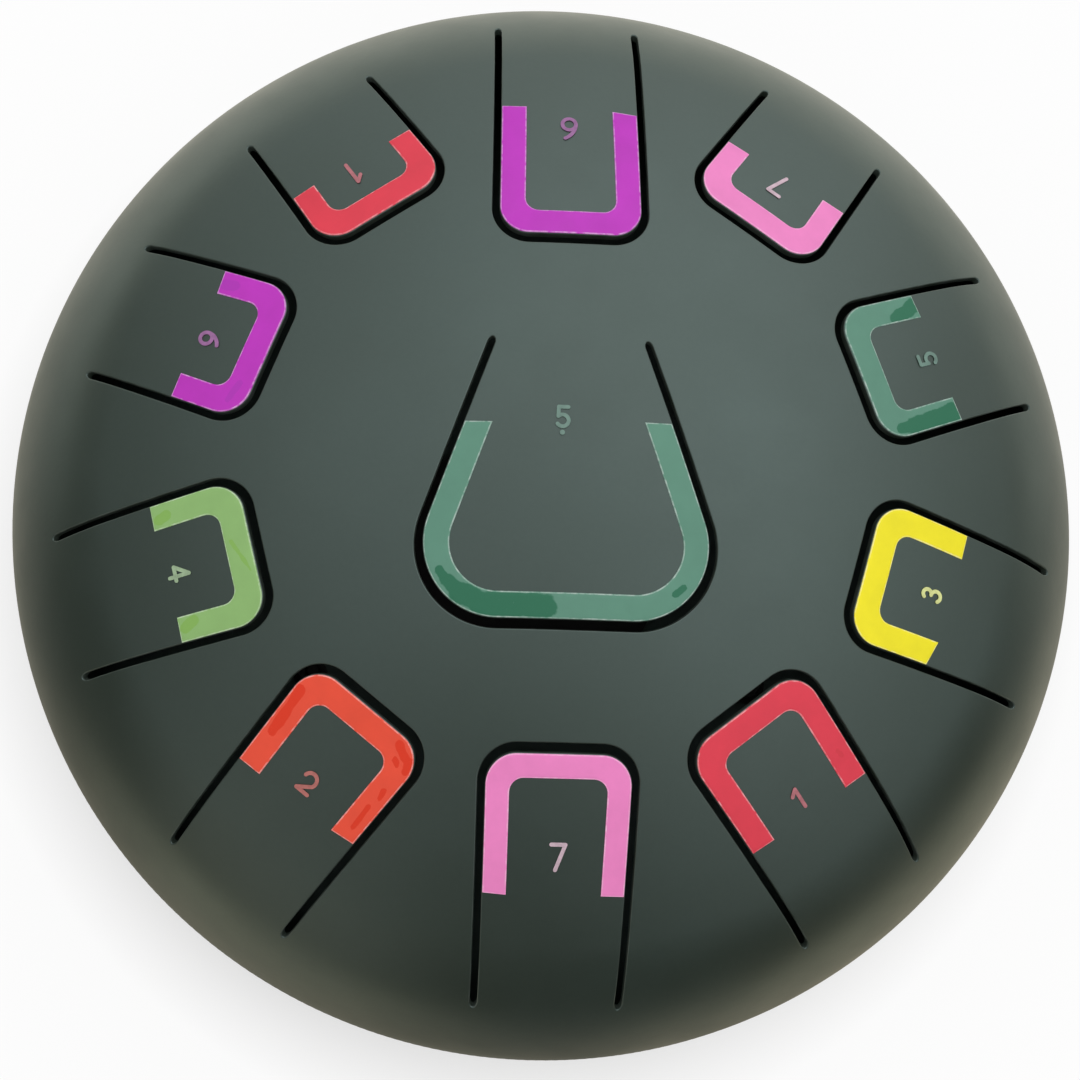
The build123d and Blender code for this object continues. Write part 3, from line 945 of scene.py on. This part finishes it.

# The tongues with their bands and numerals. A bend line near each root is worked out but not used
for tongue in TONGUES:
    note = "note_" + tongue.name
    blade = sheet_piece("tongue_sheet_" + tongue.name, [slit_edge(tongue, False)], TONGUE_STEP)
    dress(blade, PAINT)
    bend_from_to = np.array([(tongue.root, 0.0), (tongue.root - BEND_SHARE * tongue.length, 0.0)])
    bend, _ = UPPER.surface(UPPER.unroll(tongue.plan(bend_from_to)), 0.0)
    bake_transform(blade)
    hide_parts("tongue_" + tongue.name)

    band = band_piece(tongue)
    dress(band, FILMS[tongue.vinyl], CUT_HIGHLIGHT_FILMS[tongue.vinyl])
    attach(band, note)
    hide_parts("band_" + tongue.name)

    dress(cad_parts["numeral_" + tongue.name], NUMERAL_FILMS[tongue.vinyl])

# The lower shell, turned from its section with a rounded port edge
port_arc = float(LOWER.arc_at(np.array(PORT_RADIUS + PORT_EDGE)))
lower_arcs = np.linspace(LOWER.rim_arc - WELD_WIDTH / 2, port_arc, LOWER_ARC_STEPS)
lower_flat = np.column_stack((lower_arcs, np.zeros(len(lower_arcs))))
lower_out, lower_normal = LOWER.surface(lower_flat, 0.0)
lower_in, _ = LOWER.surface(lower_flat, SHEET)
lower_profile = [(x, z) for x, _, z in lower_out]
for depth in (PORT_EDGE, SHEET / 2, SHEET - PORT_EDGE):
    x, _, z = lower_out[-1] - lower_normal[-1] * depth
    lower_profile.append((x - PORT_EDGE, z))
lower_profile += [(x, z) for x, _, z in lower_in[::-1]]
lower = lathe("lower_sheet", lower_profile[::-1], LATHE_STEPS)
dress(lower, PAINT)
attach(lower, "drum")
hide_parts("lower_shell")

# The weld bead, ground nearly flush and painted over, half as wide inside as outside
weld_profile = []
for share in np.linspace(-1, 1, WELD_CROWN_POINTS):
    weld_profile.append((DRUM_RADIUS + WELD_CROWN * (1 - share**2), RIM_Z + share * WELD_WIDTH / 2))
weld_profile.append((DRUM_RADIUS - WELD_DEPTH, RIM_Z + WELD_WIDTH / 4))
weld_profile.append((DRUM_RADIUS - WELD_DEPTH, RIM_Z - WELD_WIDTH / 4))


def weld_ripple(turn):
    return WELD_RIPPLE * (np.sin(WELD_RIPPLES * turn) - 1) / 2


weld = lathe("weld_bead", weld_profile, STEPS_PER_RIPPLE * WELD_RIPPLES, weld_ripple)
dress(weld, PAINT)
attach(weld, "drum")
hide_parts("rim_weld")

# Feet and fasteners keep their CAD shapes
RUBBER = rubber()
DARK_STEEL = dark_steel()
for name in ("foot_back", "foot_left", "foot_right"):
    dress(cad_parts[name], RUBBER)
for name in ("foot_screws", "foot_washers", "foot_nuts"):
    dress(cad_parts[name], DARK_STEEL)


# Floor. The camera sees it white away from the drum, with the drum's shadow, and under the drum its colour is
# darkened, a painted shade.
# Reflections see a painted reflection on it: its glow for them is bright behind the drum and dim on the
# player's side, with painted warm light round the drum and in two spots. Lengths are in metres and levels are
# shares of white.
FLOOR_SIZE = 8.0
FLOOR_GREY = 0.9
FLOOR_GLOW = 0.9
# Span and level of the painted shade: the floor's colour is darkened under the drum
SHADE_UNDER_DRUM_SPAN = (0.06, 0.13)
SHADE_UNDER_DRUM_LEVEL = 0.05
GLOW_FROM_TO = (0.10, 0.15)
FAR_FLOOR = (0.25, 0.80)
FLOOR_BRIGHT_WAY = (0.08, 1.0, 0.0)
FLOOR_DIM_TO_BRIGHT = (-0.10, 0.29)
FLOOR_MIRRORED = (0.0, 1.20)
FLOOR_TINT = (1.03, 1.0, 0.89, 1)
NEAR_FLOOR = (0.16, 0.38)
NEAR_FLOOR_LEVEL = 0.28
LEFT_FLOOR_SPOT = (-0.23, -0.30, 0.0)
LEFT_FLOOR_LEVEL = 0.84
RIGHT_FLOOR_SPOT = (0.25, -0.20, 0.0)
RIGHT_FLOOR_LEVEL = 0.75
FLOOR_SPOT_FROM_TO = (0.04, 0.23)
WARM_TINT = (1.15, 1.0, 0.70, 1)

# Room. The camera sees it plain white. Reflections see it bright behind the drum and overhead, and dim on the
# player's side, with two soft spots and dimmer side walls. Its light is nearly even, and weak near the floor.
BRIGHT_SIDE = (0.25, 0.78, 0.57)
BRIGHT_FROM_TO = (0.11, 0.98)
ROOM_MIRRORED = (0.0, 1.1)
LEFT_ROOM_SPOT = (-0.55, -0.10, 0.83)
LEFT_ROOM_LEVEL = 0.52
RIGHT_ROOM_SPOT = (0.65, -0.25, 0.72)
RIGHT_ROOM_LEVEL = 0.84
ROOM_SPOT_FROM_TO = (0.70, 0.98)
SIDE_WALL = (0.65, 0.97)
SIDE_WALL_SHARE = 0.5
LIGHT_FROM_TO = (-0.40, 0.95)
ROOM_LIGHT = (0.78, 1.10)
LOW_WALL = (0.16, 0.45)
LOW_WALL_LIGHT = 0.12

# Lamps, in metres and watts: a large one high behind the drum, and a warm one low on the player's left
LAMP_AIM = (0.0, 0.0, 0.1)
KEY_PLACE = (0.45, 0.90, 1.30)
KEY_SIZE = 1.6
KEY_POWER = 4.0
KEY_TINT = (1.0, 1.0, 1.0)
SIDE_PLACE = (-0.66, -0.86, 0.40)
SIDE_SIZE = 0.8
SIDE_POWER = 1.1
SIDE_TINT = (1.0, 0.88, 0.76)

# Camera, as the photograph was taken: nearly overhead, a little towards the player
CAMERA_DISTANCE = 0.6
CAMERA_RIGHT = Vector((0.99719, 0.02097, 0.07196))
CAMERA_UP = Vector((-0.03297, 0.98490, 0.16999))
CAMERA_BACK = Vector((-0.06731, -0.17188, 0.98282))
FOCAL_LENGTH = 82.57
SENSOR_WIDTH = 36.0
FRAME_SHIFT = (-0.0052, -0.0148)
NEAR_CLIP = 0.01


def seen_ray(nodes):
    """1 for rays from the camera or from a reflection or refraction, 0 for rays that carry light."""
    path = nodes.add("LightPath")
    seen = nodes.math("MAXIMUM", path["Is Camera Ray"], path["Is Glossy Ray"])
    return nodes.math("MAXIMUM", seen, path["Is Transmission Ray"])


def mirrored_ray(nodes):
    """1 for rays from a reflection, 0 for others."""
    return nodes.add("LightPath")["Is Glossy Ray"]


def floor_material():
    """Pale matt floor that the camera and reflections see as lit by itself away from the drum. Its glow for
    reflections is shaded, with warm spots: a painted reflection.
    """
    made, nodes = new_material("pale_floor")
    place = nodes.place()
    from_axis = nodes.measure("LENGTH", place)
    # Painted shade: the floor's own colour is darkened under the drum
    under = nodes.remap(from_axis, SHADE_UNDER_DRUM_SPAN, (SHADE_UNDER_DRUM_LEVEL, 1.0))
    matt = nodes.add("BsdfDiffuse", {"Color": nodes.tinted(grey(FLOOR_GREY), under)})["BSDF"]
    # Painted reflection: the floor's glow for reflections, brighter behind the drum and dim on the player's
    # side, with warm spots
    behind = nodes.measure("DOT_PRODUCT", place, FLOOR_BRIGHT_WAY)
    white = nodes.remap(behind, FLOOR_DIM_TO_BRIGHT, FLOOR_MIRRORED)
    warm = nodes.remap(from_axis, NEAR_FLOOR, (NEAR_FLOOR_LEVEL, 0.0))
    for spot, level in ((LEFT_FLOOR_SPOT, LEFT_FLOOR_LEVEL), (RIGHT_FLOOR_SPOT, RIGHT_FLOOR_LEVEL)):
        away = nodes.measure("DISTANCE", place, spot)
        warm = nodes.math("ADD", warm, nodes.remap(away, FLOOR_SPOT_FROM_TO, (level, 0.0)))
    mirrored = nodes.mix(1.0, nodes.tinted(FLOOR_TINT, white), nodes.tinted(WARM_TINT, warm), "ADD")
    glow_colour = nodes.mix(mirrored_ray(nodes), grey(1.0), mirrored)
    glow = nodes.add("Emission", {"Color": glow_colour, "Strength": 1.0})["Emission"]
    open_floor = nodes.remap(from_axis, GLOW_FROM_TO, (0.0, FLOOR_GLOW))
    far_floor = nodes.remap(from_axis, FAR_FLOOR, (0.0, 1.0 - FLOOR_GLOW))
    glow_share = nodes.math("MULTIPLY", seen_ray(nodes), nodes.math("ADD", open_floor, far_floor))
    surface = nodes.add("MixShader", {0: glow_share, 1: matt, 2: glow})["Shader"]
    nodes.add("OutputMaterial", {"Surface": surface})
    return made


half_floor = FLOOR_SIZE / 2
floor_mesh = bpy.data.meshes.new("floor")
floor_corners = [(-half_floor, -half_floor, 0), (half_floor, -half_floor, 0)]
floor_corners += [(half_floor, half_floor, 0), (-half_floor, half_floor, 0)]
floor_mesh.from_pydata(floor_corners, [], [(0, 1, 2, 3)])
floor = bpy.data.objects.new("floor", floor_mesh)
bpy.context.scene.collection.objects.link(floor)
dress(floor, floor_material())


def light_room():
    """The world: plain white to the camera, a shaded white room to reflections."""
    world = bpy.data.worlds.new("studio")
    bpy.context.scene.world = world
    world.use_nodes = True
    nodes = Nodes(world.node_tree)
    direction = nodes.add("TexCoord")["Generated"]
    towards = nodes.measure("DOT_PRODUCT", direction, BRIGHT_SIDE)
    mirrored = nodes.remap(towards, BRIGHT_FROM_TO, ROOM_MIRRORED)
    for spot, level in ((LEFT_ROOM_SPOT, LEFT_ROOM_LEVEL), (RIGHT_ROOM_SPOT, RIGHT_ROOM_LEVEL)):
        to_spot = nodes.measure("DOT_PRODUCT", direction, spot)
        mirrored = nodes.math("ADD", mirrored, nodes.remap(to_spot, ROOM_SPOT_FROM_TO, (0.0, level)))
    parts = nodes.add("SeparateXYZ", {"Vector": direction})
    sideways = nodes.math("ABSOLUTE", parts["X"])
    side_wall = nodes.remap(sideways, SIDE_WALL, (1.0, SIDE_WALL_SHARE))
    mirrored = nodes.math("MULTIPLY", mirrored, side_wall)
    low_wall = nodes.remap(parts["Z"], LOW_WALL, (LOW_WALL_LIGHT, 1.0))
    light = nodes.math("MULTIPLY", low_wall, nodes.remap(towards, LIGHT_FROM_TO, ROOM_LIGHT))
    seen = nodes.mix(mirrored_ray(nodes), grey(1.0), nodes.tinted(grey(1.0), mirrored))
    colour = nodes.mix(seen_ray(nodes), nodes.tinted(grey(1.0), light), seen)
    sky = nodes.add("Background", {"Color": colour, "Strength": 1.0})["Background"]
    nodes.add("OutputWorld", {"Surface": sky})


def softbox(name, place, size, power, tint):
    """A square area light that faces the drum."""
    lamp = bpy.data.lights.new(name, "AREA")
    lamp.size = size
    lamp.energy = power
    lamp.color = tint
    made = bpy.data.objects.new(name, lamp)
    bpy.context.scene.collection.objects.link(made)
    made.location = place
    made.rotation_mode = "QUATERNION"
    made.rotation_quaternion = (Vector(LAMP_AIM) - Vector(place)).to_track_quat("-Z", "Y")


light_room()
softbox("key", KEY_PLACE, KEY_SIZE, KEY_POWER, KEY_TINT)
softbox("side", SIDE_PLACE, SIDE_SIZE, SIDE_POWER, SIDE_TINT)

lens = bpy.data.cameras.new("camera")
lens.sensor_width = SENSOR_WIDTH
lens.lens = FOCAL_LENGTH
lens.shift_x, lens.shift_y = FRAME_SHIFT
lens.clip_start = NEAR_CLIP
camera = bpy.data.objects.new("camera", lens)
bpy.context.scene.collection.objects.link(camera)
camera_turn = Matrix((CAMERA_RIGHT, CAMERA_UP, CAMERA_BACK)).transposed().to_4x4()
camera_place = Vector((0, 0, RIM_Z * MM)) + CAMERA_DISTANCE * CAMERA_BACK
camera.matrix_world = Matrix.Translation(camera_place) @ camera_turn
bpy.context.scene.camera = camera
bpy.context.scene.view_settings.view_transform = "Standard"
